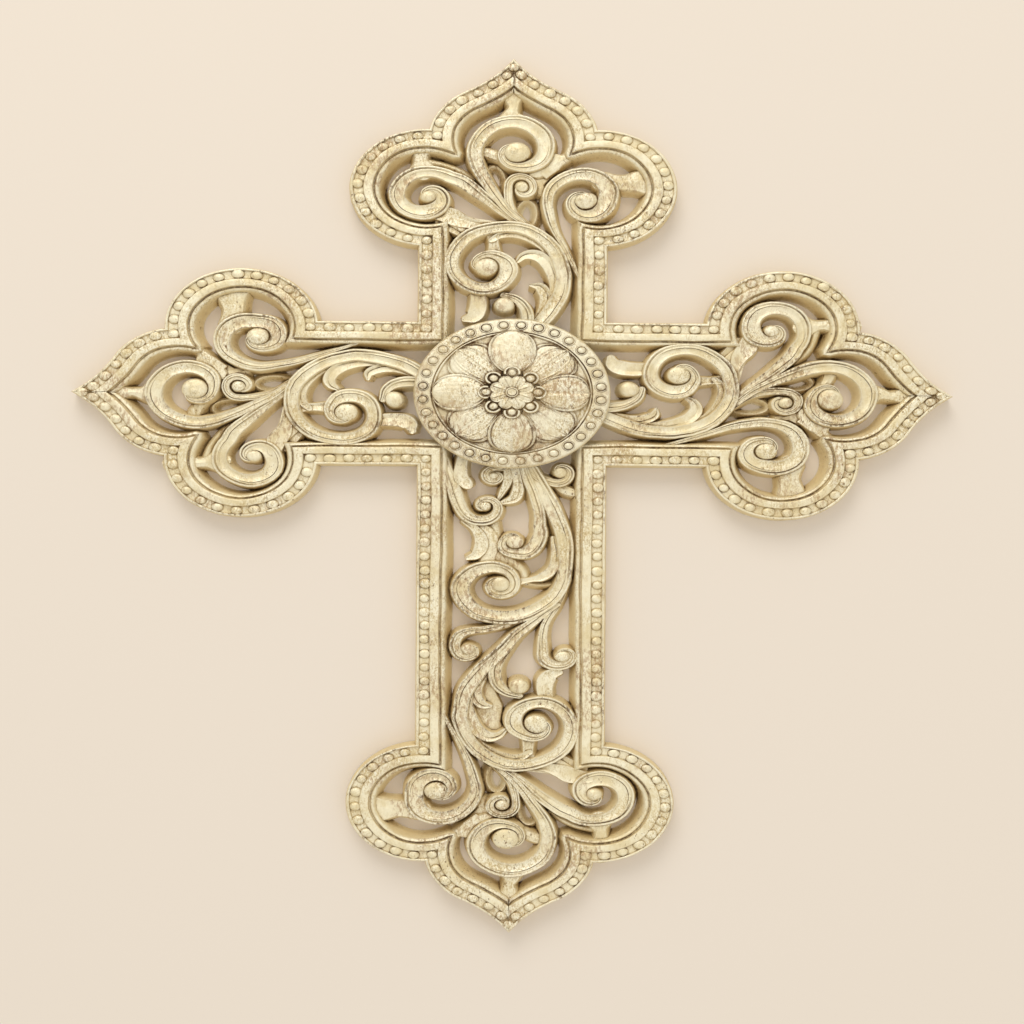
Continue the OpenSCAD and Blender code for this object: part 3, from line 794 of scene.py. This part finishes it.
def spread(tree, value, lo, hi, to_lo=0.0, to_hi=1.0):
    n = node(tree, "ShaderNodeMapRange", clamp=True, interpolation_type="SMOOTHSTEP")
    ends = {"From Min": lo, "From Max": hi, "To Min": to_lo, "To Max": to_hi}
    feed(tree, n.inputs["Value"], value)
    for k, val in ends.items():
        feed(tree, n.inputs[k], val)
    return n.outputs["Result"]


def maths(tree, op, a, b=0.0):
    n = node(tree, "ShaderNodeMath", operation=op, use_clamp=True)
    feed(tree, n.inputs[0], a)
    feed(tree, n.inputs[1], b)
    return n.outputs[0]


def product(tree, first, *rest):
    for other in rest:
        first = maths(tree, "MULTIPLY", first, other)
    return first


def tint(tree, fac, a, b):
    n = node(tree, "ShaderNodeMix", data_type="RGBA")
    for k, val in ((0, fac), (6, a), (7, b)):
        feed(tree, n.inputs[k], val)
    return n.outputs[2]


def hollows(tree, reach, inside=False):
    """1 on open metal, falling to 0 where metal lies close by within reach"""
    n = node(tree, "ShaderNodeAmbientOcclusion", samples=12, only_local=True, inside=inside)
    feed(tree, n.inputs["Distance"], reach)
    return n.outputs["AO"]


# creases and pits hold umber glaze; the creases and broad hollows also get painted shade where metal lies
# close
glaze_and_shade, out = new_group("umber_glaze_and_shade", ("Crease", "Pits", "Soft"), ("Reach", "Open", "Full"))
given = node(glaze_and_shade, "NodeGroupInput").outputs
# the crease mask: umber glaze together with painted shade, within Reach of other metal
crease = spread(glaze_and_shade, hollows(glaze_and_shade, given["Reach"]), given["Open"], given["Full"])
stretches = spread(glaze_and_shade, noise(glaze_and_shade, 48, 3), 0.42, 0.56, 0.30, 1.0)
breaks = spread(glaze_and_shade, noise(glaze_and_shade, 620, 3, 0.65), 0.36, 0.56, 0.35, 1.0)
small = spread(glaze_and_shade, noise(glaze_and_shade, 800, 3, 0.7, (1, 1, 0.6)), 0.61, 0.69)
large = spread(glaze_and_shade, noise(glaze_and_shade, 380, 4, 0.75, (1, 1, 0.6)), 0.61, 0.68)
patches = spread(glaze_and_shade, noise(glaze_and_shade, 42, 3), 0.44, 0.64, 0.08, 1.0)
# a painted shade over the broad hollows, where other metal lies within 5 mm
hollow_shade = spread(glaze_and_shade, hollows(glaze_and_shade, 0.005), 0.88, 0.40)
# dark glaze flecks in the pits, laid more thickly where the painted hollow shade is
pits = product(glaze_and_shade, maths(glaze_and_shade, "MAXIMUM", small, large), maths(glaze_and_shade, "MAXIMUM", patches, hollow_shade))
feed(glaze_and_shade, out["Crease"], product(glaze_and_shade, crease, stretches, breaks))
feed(glaze_and_shade, out["Pits"], pits)
feed(glaze_and_shade, out["Soft"], hollow_shade)

wear, out = new_group("leaf_wear", ("Tone", "Dark", "Light", "Bole", "Rim", "Height"))
crust = noise(wear, 1350, 4, 0.75)
hatch = noise(wear, 900, 3, 0.65, (1, 1, 0.5))
fine = maths(wear, "ADD", product(wear, crust, 0.6), product(wear, hatch, 0.4))
rough_areas = spread(wear, noise(wear, 40, 4, 0.65), 0.42, 0.60, 0.14, 1.0)
bare_areas = spread(wear, noise(wear, 30, 3), 0.47, 0.60)
flecks = spread(wear, noise(wear, 620, 4, 0.75, (1, 1, 0.55)), 0.46, 0.60)
relief = node(wear, "ShaderNodeMath", operation="MULTIPLY_ADD")
feed(wear, relief.inputs[0], fine)
feed(wear, relief.inputs[1], 0.7)
feed(wear, relief.inputs[2], noise(wear, 300, 4, 0.6))
feed(wear, out["Tone"], spread(wear, noise(wear, 70, 5, 0.65), 0.36, 0.60))
feed(wear, out["Dark"], product(wear, spread(wear, fine, 0.51, 0.42), rough_areas))
feed(wear, out["Light"], product(wear, spread(wear, fine, 0.50, 0.58), rough_areas))
feed(wear, out["Bole"], product(wear, bare_areas, flecks))
# Rim marks the convex edges, rubbed bright and given a painted highlight
feed(wear, out["Rim"], spread(wear, hollows(wear, 0.0016, True), 0.86, 0.50))
feed(wear, out["Height"], relief.outputs[0])

face, out = new_group("which_side", ("Wall", "Back"))
normal = node(face, "ShaderNodeSeparateXYZ")
feed(face, normal.inputs[0], node(face, "ShaderNodeNewGeometry").outputs["Normal"])
feed(face, out["Wall"], spread(face, maths(face, "ABSOLUTE", normal.outputs["Y"]), 0.62, 0.30))
feed(face, out["Back"], spread(face, normal.outputs["Y"], 0.5, 0.8))


def leaf_material(name, leaf, pale, dark, bole, reach, crease_from, crease_to):
    """leaf and pale are its two tones; dark and bole are how strongly it is worn and bared"""
    mat = bpy.data.materials.new(name)
    mat.use_nodes = True
    t = mat.node_tree
    bsdf = t.nodes["Principled BSDF"]
    g = node(t, "ShaderNodeGroup", node_tree=glaze_and_shade)
    for k, val in (("Reach", reach), ("Open", crease_from), ("Full", crease_to)):
        feed(t, g.inputs[k], val)
    g = g.outputs
    w = node(t, "ShaderNodeGroup", node_tree=wear).outputs
    side = node(t, "ShaderNodeGroup", node_tree=face).outputs
    col = tint(t, w["Tone"], leaf, pale)
    col = tint(t, product(t, w["Dark"], dark), col, DULL_LEAF)
    col = tint(t, product(t, w["Light"], 0.75), col, BRIGHT_LEAF)
    col = tint(t, product(t, w["Bole"], bole), col, RED_GROUND)
    # rubbed leaf and a painted highlight along the convex edges
    col = tint(t, product(t, w["Rim"], 0.55), col, RUBBED_RIM_AND_HIGHLIGHT)
    col = tint(t, product(t, w["Rim"], w["Bole"], 0.95), col, WORN_RIM)
    col = tint(t, product(t, side["Wall"], 0.82), col, WALL_TAN)
    # painted shade over the broad hollows
    col = tint(t, product(t, g["Soft"], 0.55), col, HOLLOW_SHADE)
    col = tint(t, g["Pits"], col, PIT_GLAZE)
    col = tint(t, product(t, side["Back"], 0.92), col, tint(t, w["Tone"], BACK_BROWN, BACK_DARK))
    # umber glaze together with painted shade in the creases
    col = tint(t, g["Crease"], col, DEEP_GLAZE_AND_SHADE)
    feed(t, bsdf.inputs["Base Color"], col)
    bare = maths(t, "MAXIMUM", maths(t, "MAXIMUM", g["Crease"], side["Wall"]), g["Pits"])
    bare = maths(t, "MAXIMUM", bare, maths(t, "MAXIMUM", side["Back"], product(t, w["Dark"], 0.6)))
    feed(t, bsdf.inputs["Metallic"], spread(t, bare, 0.0, 1.0, 0.42, 0.0))
    feed(t, bsdf.inputs["Roughness"], spread(t, bare, 0.0, 1.0, 0.38, 0.64))
    bump = node(t, "ShaderNodeBump")
    bump.inputs["Strength"].default_value = 0.62
    bump.inputs["Distance"].default_value = 0.0008
    feed(t, bump.inputs["Height"], w["Height"])
    feed(t, bsdf.inputs["Normal"], bump.outputs["Normal"])
    return mat


casting.data.materials.clear()
casting.data.materials.append(leaf_material(
    "champagne_leaf", (0.78, 0.66, 0.39), (0.91, 0.83, 0.59), 0.7, 0.75, 0.0015, 0.86, 0.50))
medallion.data.materials.clear()
medallion.data.materials.append(leaf_material(
    "medallion_leaf", (0.76, 0.65, 0.41), (0.91, 0.84, 0.62), 0.75, 0.8, 0.0018, 0.94, 0.68))

# ---------------------------------------------------------------- wall and light
# A plain warm painted wall just behind the cross, a broad soft light from the
# upper left with an even room fill, and the camera square on to the front.
WALL_GAP = 0.0004       # keeps the paint clear of the casting's back
LEFT_TILT = -0.35       # degrees that the cross hangs out of upright in the view

bpy.ops.mesh.primitive_plane_add(
    size=6, location=(0, cast_hi.y + WALL_GAP, mid_z), rotation=(math.pi / 2, 0, 0))
wall = bpy.context.object
wall.name = "wall"
paint = bpy.data.materials.new("wall_paint")
paint.use_nodes = True
t = paint.node_tree
shade = t.nodes["Principled BSDF"]
shade.inputs["Base Color"].default_value = (0.80, 0.72, 0.62, 1)
shade.inputs["Roughness"].default_value = 0.9
shade.inputs["Specular IOR Level"].default_value = 0.1
# the wall shows only from the room, and lets light reach the back of the casting that lies on it
from_behind = node(t, "ShaderNodeNewGeometry").outputs["Backfacing"]
touching = maths(t, "LESS_THAN", node(t, "ShaderNodeLightPath").outputs["Ray Length"], 0.003)
show = node(t, "ShaderNodeMixShader")
feed(t, show.inputs[0], maths(t, "MAXIMUM", from_behind, touching))
feed(t, show.inputs[1], shade.outputs[0])
feed(t, show.inputs[2], node(t, "ShaderNodeBsdfTransparent").outputs[0])
feed(t, t.nodes["Material Output"].inputs["Surface"], show.outputs[0])
wall.data.materials.append(paint)

world = bpy.data.worlds.new("room")
bpy.context.scene.world = world
world.use_nodes = True
world.node_tree.nodes["Background"].inputs["Color"].default_value = (1.0, 0.975, 0.94, 1)
world.node_tree.nodes["Background"].inputs["Strength"].default_value = 0.77


def lamp(name, place, size, watts, colour):
    data = bpy.data.lights.new(name, "AREA")
    data.size = size
    data.energy = watts
    data.color = colour
    o = bpy.data.objects.new(name, data)
    bpy.context.scene.collection.objects.link(o)
    o.location = place
    o.rotation_euler = (Vector((0, 0, mid_z)) - o.location).to_track_quat("-Z", "Y").to_euler()


lamp("window_light", (-0.35, -1.5, 1.5), 1.3, 20, (1.0, 0.98, 0.95))
lamp("low_fill", (0.5, -1.8, -1.0), 1.6, 4, (1.0, 0.95, 0.88))

lens = bpy.data.cameras.new("camera")
lens.lens = 50
lens.sensor_width = 36
camera = bpy.data.objects.new("camera", lens)
bpy.context.scene.collection.objects.link(camera)
camera.location = (0.00035, cast_lo.y - 0.7045, mid_z - 0.0586)
camera.rotation_euler = (math.pi / 2, math.radians(LEFT_TILT), 0)
bpy.context.scene.camera = camera
bpy.context.scene.view_settings.view_transform = "Standard"
